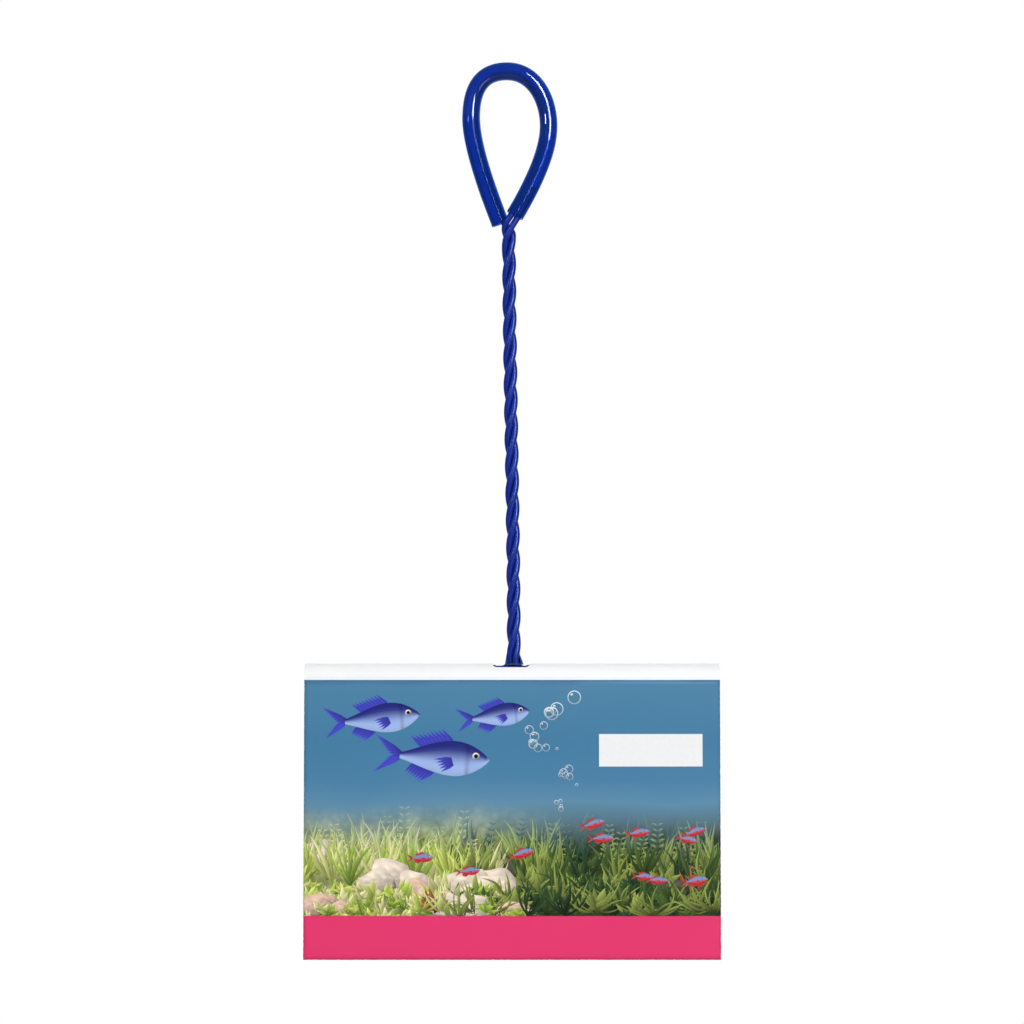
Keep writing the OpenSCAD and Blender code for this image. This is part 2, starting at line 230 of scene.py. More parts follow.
def wear(r):
    """1 along a printed board's side folds and its bottom edge, with broken borders."""
    place = r.place()
    x, _, z = r.parts(place)
    sides = r.math("SUBTRACT", x, SLEEVE_LEFT_X * MM), r.math("SUBTRACT", SLEEVE_RIGHT_X * MM, x)
    nearest = r.math("MINIMUM", r.math("MINIMUM", *sides), r.math("SUBTRACT", z, SLEEVE_Z * MM))
    broken = r.spread(r.noise(place, 900.0, 4.0), 0.45, 0.75)
    return r.math("LESS_THAN", nearest, r.math("MULTIPLY", WEAR_W * MM, broken))


def finish_of(name, **plain):
    """A new material with its recipe and its shader, whose own sockets hold the plain values."""
    material = bpy.data.materials.new(name)
    material.use_nodes = True
    recipe = Recipe(material.node_tree)
    shader = material.node_tree.nodes["Principled BSDF"]
    for title, value in plain.items():
        shader.inputs[title.replace("_", " ")].default_value = value
    return material, recipe, shader


def bump(recipe, shader, height, distance):
    made = recipe.node("Bump", {"Distance": distance, "Height": height})
    recipe.feed(shader.inputs["Normal"], made.outputs[0])


def grained(recipe, shader, fine, broad, rough, depth, tones=None):
    """Roughness and height that follow one grain, and the colour too where two tones are given."""
    shade, height = grain(recipe, fine, broad)
    if tones:
        recipe.feed(shader.inputs["Base Color"], recipe.mix(shade, *tones))
    recipe.feed(shader.inputs["Roughness"], recipe.spread(shade, *GRAIN_RANGE, *rough))
    bump(recipe, shader, height, depth)


def grained_finish(name, tones, fine, broad, rough, depth, **plain):
    """A finish of two tones that needs nothing but its grain."""
    material, r, shader = finish_of(name, **plain)
    grained(r, shader, fine, broad, rough, depth, tones)
    return material


WIRE_TONES = tone(12, 32, 126), tone(18, 43, 154)
STEEL_TONES = (0.42, 0.43, 0.45, 1), (0.6, 0.6, 0.6, 1)
VINYL_TONES = (0.012, 0.068, 0.4, 1), (0.018, 0.084, 0.47, 1)
VINYL_DEPTH = (0.15, 0.66, 0.72, 1)
VINYL_DENSITY = 300.0
THREAD_TONES = tone(16, 40, 84), tone(40, 78, 128)
CLOTH_TONES = tone(20, 58, 104), tone(38, 90, 138)
HEM_TONES = tone(28, 56, 112), tone(44, 82, 142)
WHITE_TONES = tone(236, 237, 238), tone(242, 243, 243)
INSIDE_TONES = tone(196, 194, 188), tone(214, 212, 206)
CORE_TONES = tone(206, 204, 198), tone(228, 227, 222)
WORN_COLOUR = tone(225, 226, 226)
BAND_COLOUR = tone(231, 57, 112)

# The vinyl turns dull towards the grip's mouths, below a line that slopes across the loop
DULL_SLOPE = 0.285
DULL_LOW = -32.0
DULL_HIGH = -28.0
DULL_COAT = 0.02


def grip_vinyl_finish():
    material, r, shader = finish_of(
        "grip_vinyl", Transmission_Weight=0.74, IOR=1.4, Specular_IOR_Level=0.3,
        Specular_Tint=(0.11, 0.15, 0.42, 1), Coat_Roughness=0.02,
    )
    x, _, z = r.parts(r.place())
    height = r.math("MULTIPLY_ADD", x, DULL_SLOPE, z)
    r.feed(shader.inputs["Coat Weight"], r.spread(height, DULL_LOW * MM, DULL_HIGH * MM, DULL_COAT, 1.0))
    grained(r, shader, fine=500.0, broad=45.0, rough=(0.03, 0.07), depth=0.000001, tones=VINYL_TONES)
    depth = r.node("VolumeAbsorption", {"Color": VINYL_DEPTH, "Density": VINYL_DENSITY})
    r.tree.links.new(depth.outputs[0], r.tree.nodes["Material Output"].inputs["Volume"])
    return material


def net_finish(name, pitch, thread, dark, light):
    material, r, shader = finish_of(name, Roughness=0.75, Sheen_Weight=0.15, Specular_IOR_Level=0.3)
    cover, height, shade = weave(r, pitch, thread)
    r.feed(shader.inputs["Base Color"], r.mix(shade, dark, light))
    r.feed(shader.inputs["Alpha"], cover)
    bump(r, shader, height, 0.0001)
    return material


def board_finish(name, tones, rough):
    """Board that isn't printed, its grain between two near tones."""
    return grained_finish(
        name, tones, fine=2600.0, broad=70.0, rough=(rough - 0.05, rough + 0.05), depth=0.00003,
        Specular_IOR_Level=0.35,
    )


WATER_STOPS = [
    (0.0, tone(140, 168, 188)),
    (0.42, tone(128, 162, 184)),
    (0.53, tone(98, 144, 172)),
    (0.64, tone(74, 128, 166)),
    (0.78, tone(68, 124, 162)),
    (0.985, tone(76, 130, 165)),
    (1.0, tone(66, 114, 148)),
]
BED_PALE_STOPS = [(0.3, tone(96, 112, 50)), (0.7, tone(200, 204, 140))]
BED_DEEP_STOPS = [(0.35, tone(12, 18, 12)), (0.8, tone(66, 86, 44))]
BED_SPOTS = tone(60, 70, 30)
BED_SIDE_SHARES = (0.42, 0.62)
BED_TOP_SHARES = (0.42, 0.56)
WATER_SWAY_SHARE = 0.015
BORDER_SWAY_SHARE = 0.08
BED_SPOTS_SHARE = 0.5


def varnish(recipe, shader, colour, worn=False):
    """The printed board's surface: its colour, with white edges if worn, under a satin varnish."""
    if worn:
        colour = recipe.mix(wear(recipe), colour, WORN_COLOUR)
    recipe.feed(shader.inputs["Base Color"], colour)
    grained(recipe, shader, fine=2200.0, broad=25.0, rough=(0.36, 0.46), depth=0.00002)


def planted_ground(r, place, across, swayed, sway, colour):
    """The soft ground behind the printed plants, pale on the left and deep on the right."""
    far = r.noise(place, 90.0, 6.0, rough=0.65)
    near = r.node("TexVoronoi", {"Vector": place, "Scale": 240.0})
    pale, deep = r.ramp(far, BED_PALE_STOPS), r.ramp(far, BED_DEEP_STOPS)
    border = r.math("ADD", across, r.spread(sway, *GRAIN_RANGE, -BORDER_SWAY_SHARE, BORDER_SWAY_SHARE))
    bed = r.mix(r.spread(border, *BED_SIDE_SHARES), pale, deep)
    bed = r.mix(r.math("MULTIPLY", near.outputs["Distance"], BED_SPOTS_SHARE), bed, BED_SPOTS)
    return r.mix(r.spread(swayed, *BED_TOP_SHARES, 1.0, 0.0), colour, bed)


def printed_board_finish(name, planted=False, worn=False):
    """Water that fades into haze, the tank's bed if planted, and the plain band along the bottom."""
    material, r, shader = finish_of(name, Specular_IOR_Level=0.15)
    place = r.place()
    x, _, z = r.parts(place)
    height = r.spread(z, SLEEVE_Z * MM, FOLD_Z * MM)
    sway = r.noise(place, 14.0, 3.0)
    swayed = r.math("ADD", height, r.spread(sway, *GRAIN_RANGE, -WATER_SWAY_SHARE, WATER_SWAY_SHARE))
    colour = r.ramp(swayed, WATER_STOPS)
    if planted:
        across = r.spread(x, SLEEVE_LEFT_X * MM, SLEEVE_RIGHT_X * MM)
        colour = planted_ground(r, place, across, swayed, sway, colour)
    band = r.math("LESS_THAN", z, (SLEEVE_Z + BAND_H) * MM)
    varnish(r, shader, r.mix(band, colour, BAND_COLOUR), worn)
    return material


def ink_finish():
    """The printed motifs, whose colours are painted on their corners."""
    material, r, shader = finish_of("print_ink", Specular_IOR_Level=0.15)
    ink = r.node("Attribute", attribute_name="ink")
    shade = r.spread(r.noise(r.place(), 420.0, 4.0, rough=0.6), *GRAIN_RANGE, 0.975, 1.015)
    grey = r.node("CombineXYZ", {0: shade, 1: shade, 2: shade})
    varnish(r, shader, r.mix(1.0, ink.outputs["Color"], grey.outputs[0], "MULTIPLY"))
    return material


WIRE = grained_finish(
    "coated_wire", WIRE_TONES, fine=1400.0, broad=90.0, rough=(0.3, 0.36), depth=0.000001,
    Specular_IOR_Level=0.6, Specular_Tint=(0.4, 0.58, 1.0, 1),
)
CORE = grained_finish(
    "steel_core", STEEL_TONES, fine=6000.0, broad=900.0, rough=(0.25, 0.45), depth=0.00003, Metallic=1.0
)
VINYL = grip_vinyl_finish()
MESH_CLOTH = net_finish("mesh_cloth", 1.15, 0.29, *CLOTH_TONES)
HEM_CLOTH = net_finish("hem_cloth", 0.75, 0.42, *HEM_TONES)
THREAD = grained_finish(
    "sewing_thread", THREAD_TONES, fine=9000.0, broad=400.0, rough=(0.6, 0.8), depth=0.00008,
    Sheen_Weight=0.4,
)
WHITE_BOARD = board_finish("white_board", WHITE_TONES, 0.5)
INSIDE_BOARD = board_finish("inside_board", INSIDE_TONES, 0.8)
BOARD_CORE = board_finish("board_core", CORE_TONES, 0.85)
PANEL_PRINT = printed_board_finish("panel_print", planted=True, worn=True)
SIDE_PRINT = printed_board_finish("side_print")
INK = ink_finish()


# Making pieces


def lay_grid(bm, across, along, place, unrolled=None):
    """A grid of cells whose corners go where place(u, v) says, u and v running from 0 to 1."""
    corners = bmesh.ops.create_grid(bm, x_segments=across, y_segments=along, size=0.5)["verts"]
    spots = {corner: (corner.co.x + 0.5, corner.co.y + 0.5) for corner in corners}
    if unrolled:
        uv = bm.loops.layers.uv.verify()
        for face in {face for corner in corners for face in corner.link_faces}:
            for loop in face.loops:
                u, v = spots[loop.vert]
                loop[uv].uv = (u * unrolled[0], v * unrolled[1])
    for corner, (u, v) in spots.items():
        corner.co = place(u, v)
    return corners


def frames_along(path, first, last):
    """Centre, tangent, across and up at each point of a path whose end directions are given."""
    ends = len(path) - 1
    made = []
    for i, centre in enumerate(path):
        tangent = first if i == 0 else last if i == ends else path[i + 1] - path[i - 1]
        tangent = tangent.normalized()
        across = BACK.cross(tangent).normalized()
        made.append((centre, tangent, across, tangent.cross(across)))
    return made


def weld(bm, corners):
    bmesh.ops.remove_doubles(bm, verts=corners, dist=1e-4)


def path_length(path):
    return sum((b - a).length for a, b in zip(path, path[1:]))


def sweep(bm, path, first, last, outline, sides, girth):
    """A closed outline carried along a path; outline(u, v) gives its reach across and up."""
    stations = frames_along(path, first, last)
    steps = len(stations) - 1

    def place(u, v):
        centre, _, across, up = stations[round(v * steps)]
        reach = outline(u, v)
        return centre + across * reach[0] + up * reach[1]

    weld(bm, lay_grid(bm, sides, steps, place, (girth, path_length(path))))


def round_outline(radius):
    return lambda u, v: circle(u, radius)


def open_edges(bm):
    return [edge for edge in bm.edges if edge.is_boundary]


def finish_piece(name, bm, body, materials, replaced=(), sharp=35, turned=True):
    """A finished mesh in metres at the origin, riding on its body."""
    if turned:
        bmesh.ops.recalc_face_normals(bm, faces=bm.faces)
    mesh = bpy.data.meshes.new(name)
    bm.to_mesh(mesh)
    bm.free()
    mesh.transform(Matrix.Scale(MM, 4))
    for material in materials:
        mesh.materials.append(material)
    mesh.shade_smooth()
    mesh.set_sharp_from_angle(angle=math.radians(sharp))
    piece = bpy.data.objects.new(name, mesh)
    scene.collection.objects.link(piece)
    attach(piece, body)
    if replaced:
        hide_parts(*replaced)
    return piece


WIRE_SIDES = 28
COAT_T = 0.5
CORE_SUNK = 0.05


def thicken(piece, name, thickness, offset):
    """Gives a sheet its thickness: inwards at -1, to both sides at 0."""
    made = piece.modifiers.new(name, "SOLIDIFY")
    made.thickness = thickness * MM
    made.offset = offset
    return made


def wire_piece(name, path, first, last, replaced):
    """A length of coated wire with its steel core at each cut face."""
    bm = bmesh.new()
    sweep(bm, path, first, last, round_outline(WIRE_R), WIRE_SIDES, math.tau * WIRE_R)
    caps = bmesh.ops.holes_fill(bm, edges=open_edges(bm))["faces"]
    for face in caps:
        face.material_index = 1
    bmesh.ops.inset_individual(bm, faces=caps, thickness=COAT_T, depth=-CORE_SUNK)
    for edge in {edge for face in caps for edge in face.edges}:
        for face in edge.link_faces:
            if face not in caps:
                face.material_index = 0
    return finish_piece(name, bm, "net", [WIRE, CORE], replaced)


# Wires and grip


# Places and leans of the grip's mouths, as shares of the wire's width across and of the pitch upwards
MOUTH_RIGHT_SHARES = (1.15, -0.89, 0)
MOUTH_LEFT_SHARES = (-1.46, 1.05, -0.085)
LEAN_RIGHT_SHARES = (-7.3, -1.26, -1)
LEAN_LEFT_SHARES = (5, 0.67, -1)

# Places of the loop's two sides, and the reach of each curve at its ends, as shares of the width or drop
LEFT_WIDTH_SHARE = 0.463
LEFT_DROP_SHARE = 0.284
RIGHT_WIDTH_SHARE = 0.537
RIGHT_DROP_SHARE = 0.341
LEFT_LEG_SHARES = (0.243, 0.201)
LEFT_SHOULDER_SHARES = (0.216, 0.338)
RIGHT_SHOULDER_SHARES = (0.358, 0.195)
RIGHT_LEG_SHARES = (0.11, 0.421)


def in_handle(x, y, z):
    return Vector((x * 2 * WIRE_R, y * 2 * WIRE_R, z * PITCH))


MOUTH = Vector((HANDLE_X, 0, -LOOP_DROP))
MOUTH_RIGHT = MOUTH + in_handle(*MOUTH_RIGHT_SHARES)
MOUTH_LEFT = MOUTH + in_handle(*MOUTH_LEFT_SHARES)
LEAN_RIGHT = in_handle(*LEAN_RIGHT_SHARES).normalized()
LEAN_LEFT = in_handle(*LEAN_LEFT_SHARES).normalized()
LOOP_LEFT = Vector((-LEFT_WIDTH_SHARE * LOOP_W, 0, -LEFT_DROP_SHARE * LOOP_DROP))
LOOP_RIGHT = Vector((RIGHT_WIDTH_SHARE * LOOP_W, 0, -RIGHT_DROP_SHARE * LOOP_DROP))
LOOP_TOP = Vector((0, 0, GRIP_R))


def curve_between(start, way_out, end, way_back, shares, sizes):
    """A smooth curve that leaves its start along one way and comes to its end from another."""
    a, d = start, end
    b = start + way_out * shares[0] * sizes[0]
    c = end + way_back * shares[1] * sizes[1]
    return lambda t: a * (1 - t) ** 3 + 3 * b * t * (1 - t) ** 2 + 3 * c * t * t * (1 - t) + d * t ** 3


WIDE, TALL = LOOP_W, LOOP_DROP
left_leg = curve_between(MOUTH_LEFT, -LEAN_LEFT, LOOP_LEFT, -UP, LEFT_LEG_SHARES, (TALL, TALL))
left_shoulder = curve_between(LOOP_LEFT, UP, LOOP_TOP, LEFT, LEFT_SHOULDER_SHARES, (TALL, WIDE))
right_shoulder = curve_between(LOOP_TOP, RIGHT, LOOP_RIGHT, UP, RIGHT_SHOULDER_SHARES, (WIDE, TALL))
right_leg = curve_between(LOOP_RIGHT, -UP, MOUTH_RIGHT, -LEAN_RIGHT, RIGHT_LEG_SHARES, (TALL, TALL))

CURVE_STEPS = 40
grip_path = []
for curve in (left_leg, left_shoulder, right_shoulder, right_leg):
    grip_path += [curve(i / CURVE_STEPS) for i in range(CURVE_STEPS)]
grip_path.append(MOUTH_RIGHT)


def inwards(tangent):
    """Across the tube within the plane of the loop, towards its middle."""
    return Vector((tangent.z, 0, -tangent.x)).normalized()


TUBE_SIDES = 56
TUBE_SLIM = 0.06
TUBE_WAVER = 0.05
LIP_W = 0.28
STUB_STEPS = 24


def make_grip_tube():
    bm = bmesh.new()
    path = [MOUTH_LEFT + LEAN_LEFT * MOUTH_OVER, *grip_path, MOUTH_RIGHT + LEAN_RIGHT * MOUTH_OVER]
    uneven = [noise.noise(point * 0.05) for point in path]

    def outline(u, v):
        radius = GRIP_R - TUBE_SLIM + TUBE_WAVER * uneven[round(v * (len(uneven) - 1))]
        return circle(u, radius)

    sweep(bm, path, -LEAN_LEFT, LEAN_RIGHT, outline, TUBE_SIDES, math.tau * GRIP_R)
    tube = finish_piece("grip_tube_vinyl", bm, "net", [VINYL], ["grip_tube"], sharp=60)
    thicken(tube, "wall", GRIP_R - BORE_R - TUBE_SLIM, -1).use_even_offset = True
    lip = tube.modifiers.new("lip", "BEVEL")
    lip.width = LIP_W * MM
    lip.segments = 3
    lip.limit_method = "ANGLE"
    lip.angle_limit = math.radians(50)
    return tube


def make_grip_wires():
    stations = frames_along(grip_path, -LEAN_LEFT, LEAN_RIGHT)
    path = [centre + PAIR_R * inwards(tangent) for centre, tangent, _, _ in stations]
    wire_piece("loop_wire", path, -LEAN_LEFT, LEAN_RIGHT, ["grip_wire"])
    reach = STUB_L / (LOOP_RIGHT - MOUTH_RIGHT).length * STUB_SHARE
    leg = [right_leg(1 - reach * (1 - i / STUB_STEPS)) for i in range(STUB_STEPS + 1)]
    stations = frames_along(leg, leg[1] - leg[0], LEAN_RIGHT)
    beside = [centre - PAIR_R * inwards(tangent) for centre, tangent, _, _ in stations]
    wire_piece("loop_cut_end", beside, stations[0][1], LEAN_RIGHT, ["grip_stub"])


STRAND_STEP = 0.8
BEND_STEPS = 18
BEND_HOLD_SHARE = 0.22


def axis_x(z):
    return HANDLE_X + HANDLE_DRIFT * soft((-LOOP_DROP - z) / (-LOOP_DROP - FOOT_Z))


def turned_z(z):
    """The height that a strand's turn is taken at, so that the twist slows down to its end."""
    above = z - TWIST_END_Z
    return z if above >= SLOW_Z else TWIST_END_Z + above * above / (2 * SLOW_Z) + SLOW_Z / 2


def strand_point(z, k):
    angle = math.tau * (turned_z(z) - PHASE_Z) / PITCH + math.tau * k / 3
    return Vector((axis_x(z) + STRAND_R * math.cos(angle), STRAND_R * math.sin(angle), z))


def strand_path(start, lean, join_share, k):
    """A strand leaves its leg in a straight line and is blended into the twist."""
    steps = round((start.z - TWIST_END_Z) / STRAND_STEP)
    made = []
    for i in range(steps + 1):
        z = between(start.z, TWIST_END_Z, i / steps)
        straight = start + lean * ((z - start.z) / lean.z)
        made.append(straight.lerp(strand_point(z, k), softer((start.z - z) / (join_share * PITCH))))
    return made


def quarter_bend(point, way, radius):
    """From straight down to sideways, brought into the plane of the frame."""
    made = []
    for i in range(1, BEND_STEPS + 1):
        angle = math.pi / 2 * i / BEND_STEPS
        out = way * radius * (1 - math.cos(angle))
        depth = point.y * (1 - softer((i / BEND_STEPS - BEND_HOLD_SHARE) / (1 - BEND_HOLD_SHARE)))
        made.append(Vector((point.x + out, depth, point.z - radius * math.sin(angle))))
    return made


def foot_bend(k, way, frame_x):
    """From the end of the twist round a tight bend, and along the top bar to where the frame begins."""
    return quarter_bend(strand_point(TWIST_END_Z, k), way, BEND_RIGHT_R) + [Vector((frame_x, 0, BAR_Z))]


def make_strands():
    start = MOUTH_LEFT + PAIR_R * inwards(-LEAN_LEFT)
    run = strand_path(start, LEAN_LEFT, join_share=0.21, k=0) + foot_bend(0, 1, RIGHT_BEND_X)
    wire_piece("handle_strand_right", run, LEAN_LEFT, RIGHT, ["strand_right"])

    start = MOUTH_RIGHT - PAIR_R * inwards(LEAN_RIGHT)
    run = strand_path(start, LEAN_RIGHT, join_share=0.49, k=2) + foot_bend(2, -1, LEFT_BEND_X)
    wire_piece("handle_strand_left", run, LEAN_RIGHT, LEFT, ["strand_left"])

    start = MOUTH_RIGHT + PAIR_R * inwards(LEAN_RIGHT)
    run = strand_path(start, LEAN_RIGHT, join_share=0.365, k=1)
    wire_piece("handle_strand_cut", run, LEAN_RIGHT, -UP, ["strand_cut"])


# The net: hem, gathers and bag


CORNER_STEPS = 18
HEM_STEP = 1.6
HEM_MOUTH = 20
HEM_ARC_STEPS = 19
SEAM_OUTLINE = ((2.6, 0.5), (0.3, 0.42))
PUCKER = 0.12
PUCKER_WAVES = 840
HEM_WAVER = 0.16
STITCH_STEP = 3.2
STITCH_SHARE = 0.16
STITCH_SHARES = (0.0, 0.2, 0.5, 0.8, 1.0)
STITCH_R = 0.2
STITCH_LOW = 0.36
STITCH_RISE = 0.34


def frame_line(inset):
    """The run of the frame, set inwards, from the left bend round to the right bend."""
    radius, high_z = CORNER_R - inset, BAR_Z - inset
    left, right = LEFT_BAR_X + CORNER_R, RIGHT_BAR_X - CORNER_R
    low, high = BOTTOM_Z + CORNER_R, BAR_Z - CORNER_R
    made = [Vector((LEFT_BEND_X, 0, high_z))]
    for x, z, start in ((left, high, 90), (left, low, 180), (right, low, 270), (right, high, 0)):
        for i in range(CORNER_STEPS + 1):
            angle = math.radians(start + 90 * i / CORNER_STEPS)
            made.append(Vector((x + radius * math.cos(angle), 0, z + radius * math.sin(angle))))
    made.append(Vector((RIGHT_BEND_X, 0, high_z)))
    return made


def even_line(line, step):
    """Points at even distances along a line."""
    lengths = [0.0]
    for a, b in zip(line, line[1:]):
        lengths.append(lengths[-1] + (b - a).length)
    count = max(1, round(lengths[-1] / step))
    made, at = [], 0
    for i in range(count + 1):
        goal = lengths[-1] * i / count
        while at < len(line) - 2 and lengths[at + 1] < goal:
            at += 1
        span = lengths[at + 1] - lengths[at]
        made.append(line[at].lerp(line[at + 1], (goal - lengths[at]) / span if span else 0))
    return made


def make_hem():
    """The binding round the frame wire, with the flat seam on its inner side."""
    line = even_line(frame_line(0), HEM_STEP)
    turned = 360 - 2 * HEM_MOUTH
    arc = [math.radians(HEM_MOUTH + turned * i / HEM_ARC_STEPS) for i in range(HEM_ARC_STEPS + 1)]
    shape = [(HEM_R * math.cos(a), HEM_R * math.sin(a)) for a in arc]
    shape += [(FLANGE - short, -side) for short, side in SEAM_OUTLINE]
    shape.append((FLANGE, 0.0))
    shape += [(FLANGE - short, side) for short, side in reversed(SEAM_OUTLINE)]

    def outline(u, v):
        reach, side = shape[round(u * len(shape)) % len(shape)]
        pucker = PUCKER * math.sin(v * PUCKER_WAVES)
        pucker += HEM_WAVER * noise.noise(Vector((v * 70, reach, 0)))
        if reach > HEM_R:
            return -reach - pucker, side
        return -reach * (1 + 0.03 * pucker), side * (1 + 0.03 * pucker)

    bm = bmesh.new()
    sweep(bm, line, LEFT, LEFT, outline, len(shape), 2 * FLANGE + math.tau * HEM_R)
    bmesh.ops.holes_fill(bm, edges=open_edges(bm))
    return finish_piece("hem_binding", bm, "net", [HEM_CLOTH], ["net_hem"], sharp=60)


def make_stitches():
    """Running stitches through the flat seam of the hem, seen on both faces."""
    bm = bmesh.new()
    line = even_line(frame_line(STITCH_INSET), STITCH_STEP)
    outs = [STITCH_LOW + STITCH_RISE * math.sin(math.pi * share) for share in STITCH_SHARES]
    for a, b in zip(line[1:-1], line[2:]):
        near, far = a.lerp(b, STITCH_SHARE), a.lerp(b, 1 - STITCH_SHARE)
        for side in (-1, 1):
            path = [near.lerp(far, share) + BACK * side * out for share, out in zip(STITCH_SHARES, outs)]
            sweep(bm, path, path[1] - path[0], path[-1] - path[-2], round_outline(STITCH_R), 6, 1.2)
    bmesh.ops.holes_fill(bm, edges=open_edges(bm))
    return finish_piece("hem_stitches", bm, "net", [THREAD], sharp=80)


def bend_edge(depth):
    """How far a bend's inner side stands out from its strand, at a depth below the bend's start."""
    return BEND_RIGHT_R - math.sqrt(max((BEND_RIGHT_R - WIRE_R) ** 2 - max(depth, 0) ** 2, 0))


GATHER_SIDES = 170
GATHER_LEVELS = 16
GATHER_LOW_SHARE = 0.9
GATHER_FLAT = (42, 8)
GATHER_OUT = 0.4
PLEATS = 17
PLEAT_DEPTH = 0.22
CLOTH_T = 0.22
WEB_OVER = 4
WEB_HALF_W = 7


def make_gather():
    """The bag's edge drawn up in pleats round the wires where they leave the handle."""
    low_z = FOOT_Z - GATHER_LOW_SHARE * (BEND_LEFT_R - WIRE_R)
    left_foot_x, right_foot_x = strand_point(TWIST_END_Z, 2).x, strand_point(TWIST_END_Z, 1).x
    spread = bend_edge(BAR_Z + BEND_RIGHT_R - low_z)

    def place(u, v):
        angle = -math.tau * u
        c, s = math.cos(angle), math.sin(angle)
        top_share = between(0.1, 0.8, soft((-s - 0.2) / 0.5)) + 0.05 * math.sin(5 * angle)
        share = between(top_share, GATHER_LOW_SHARE, v)
        down = share / GATHER_LOW_SHARE
        left = left_foot_x - between(WIRE_R - 0.6, spread - 0.9, down)
        right = right_foot_x + between(WIRE_R - 0.4, spread + 0.9, down)
        pleat = math.sin(PLEATS * angle + 2 * math.sin(3 * angle)) * (0.3 + 0.7 * v)
        out = GATHER_OUT + PLEAT_DEPTH * pleat
        power = between(0.9, 0.7, soft(v * 2))
        return Vector((
            (left + right) / 2 + ((right - left) / 2 + out) * math.copysign(abs(c) ** power, c),
            (HANDLE_R + out) * math.copysign(abs(s) ** power, s),
            between(FOOT_Z, low_z, down) + PLEAT_DEPTH * math.sin(PLEATS * angle + 1.0) * (1 - v),
        ))

    bm = bmesh.new()
    weld(bm, lay_grid(bm, GATHER_SIDES, GATHER_LEVELS, place, GATHER_FLAT))
    gather = finish_piece("gathered_edge", bm, "net", [HEM_CLOTH], ["net_gather"], sharp=80)
    thicken(gather, "cloth", CLOTH_T, 0)
    return gather


def make_foot_web():
    """The bag's cloth behind the wires, between the ends of the hem, from the gathers to the bag."""
    low_z, high_z, side_z = BAR_Z - FLANGE - 1.5, FOOT_Z - 6.6, BAR_Z + 0.3
    middle = (LEFT_BEND_X + RIGHT_BEND_X) / 2

    def place(u, v):
        x = between(LEFT_BEND_X - WEB_OVER, RIGHT_BEND_X + WEB_OVER, u)
        top = between(side_z, high_z, soft(1.25 - abs(x - middle) / WEB_HALF_W))
        pleat = PLEAT_DEPTH * math.sin(x * 2.6 + 1.3 * math.sin(x)) * (0.3 + 0.7 * v)
        return Vector((x, between(1.1, 3.0, soft(v * 2.2)) + pleat, between(low_z, top, v)))

    bm = bmesh.new()
    lay_grid(bm, 72, 14, place, (RIGHT_BEND_X - LEFT_BEND_X + 2 * WEB_OVER, high_z - low_z))
    return finish_piece("foot_web", bm, "net", [HEM_CLOTH], sharp=180, turned=False)


SEAM_Y = 0.55
BAG_STEP = 1.9
BAG_SIDE_GAP = 0.6
BAG_COLUMNS = 130
SWELL_MOST = 0.52
FREE_WITHIN = 22


def turn(centre, radius, start, end, steps=16):
    return [
        Vector((0, centre[0] + radius * math.cos(math.radians(between(start, end, i / steps))),
                centre[1] + radius * math.sin(math.radians(between(start, end, i / steps)))))
        for i in range(steps + 1)
    ]


def make_bag():
    """The mesh bag, folded in three layers behind the frame, between the hems of its top and bottom."""
    layer_r = (LAYER_BACK_Y - LAYER_FRONT_Y) / 4
    back_r = LAYER_BACK_Y - LAYER_FRONT_Y
    seam_z = BAR_Z - FLANGE
    starts = ((SEAM_Y, 0.6), (1.9, -3), (LAYER_FRONT_Y, -9))
    line = [Vector((0, y, seam_z + rise)) for y, rise in starts]
    line += turn((LAYER_FRONT_Y + layer_r, LOW_FOLD_Z), layer_r, -180, 0)
    line += turn((LAYER_MID_Y + layer_r, HIGH_FOLD_Z), layer_r, 180, 0)
    line += turn((LAYER_FRONT_Y, BOTTOM_Z + back_r + FLANGE), back_r, 0, -90)
    line.append(Vector((0, SEAM_Y, BOTTOM_Z + FLANGE - 0.6)))
    line = even_line(line, BAG_STEP)
    steps = len(line) - 1
    middle = (LEFT_BAR_X + RIGHT_BAR_X) / 2

    def place(u, v):
        spot = line[round(v * steps)]
        from_bar = min(BAR_Z - spot.z, spot.z - BOTTOM_Z)
        inset = CORNER_R - math.sqrt(max(CORNER_R ** 2 - max(CORNER_R - from_bar, 0) ** 2, 0))
        half = (RIGHT_BAR_X - LEFT_BAR_X) / 2 - inset - BAG_SIDE_GAP
        x = middle + (2 * u - 1) * half
        crumple = noise.fractal(Vector((x * 0.03, spot.y * 3.0, spot.z * 0.02)), 1.0, 2.0, 3)
        rib = 0.18 * math.sin(x * 0.55 + 3 * noise.noise(Vector((x * 0.02, 7, spot.z * 0.03))))
        free = soft(from_bar / FREE_WITHIN)
        swell = min(max(0.5 * crumple + rib, -SWELL_MOST), SWELL_MOST)
        return Vector((x, spot.y + swell * free, spot.z + 0.6 * crumple * free))

    flat = (RIGHT_BAR_X - LEFT_BAR_X - 2 * BAG_SIDE_GAP, path_length(line))
    bm = bmesh.new()
    lay_grid(bm, BAG_COLUMNS, steps, place, flat)
    bag = finish_piece(
        "mesh_bag", bm, "net", [MESH_CLOTH], ["net_bag"], sharp=180, turned=False
    )
    area = sum(face.area for face in bag.data.polygons)
    return bag, (flat[0] * MM, flat[1] * MM), area


# Card sleeve


def outer_depth(z):
    """How far the sleeve's front and back lie from the middle plane, at a height."""
    return FOLD_R + FLARE * (FOLD_Z - z) / PANEL_H


def panel_point(side, x, z, lift=0.0):
    u, v = (x - SLEEVE_LEFT_X) / SLEEVE_W, (z - SLEEVE_Z) / PANEL_H
    bow = PANEL_BOW * math.sin(math.pi * within(u)) * math.sin(math.pi * within(v))
    return Vector((x, side * (outer_depth(z) + bow + lift), z))


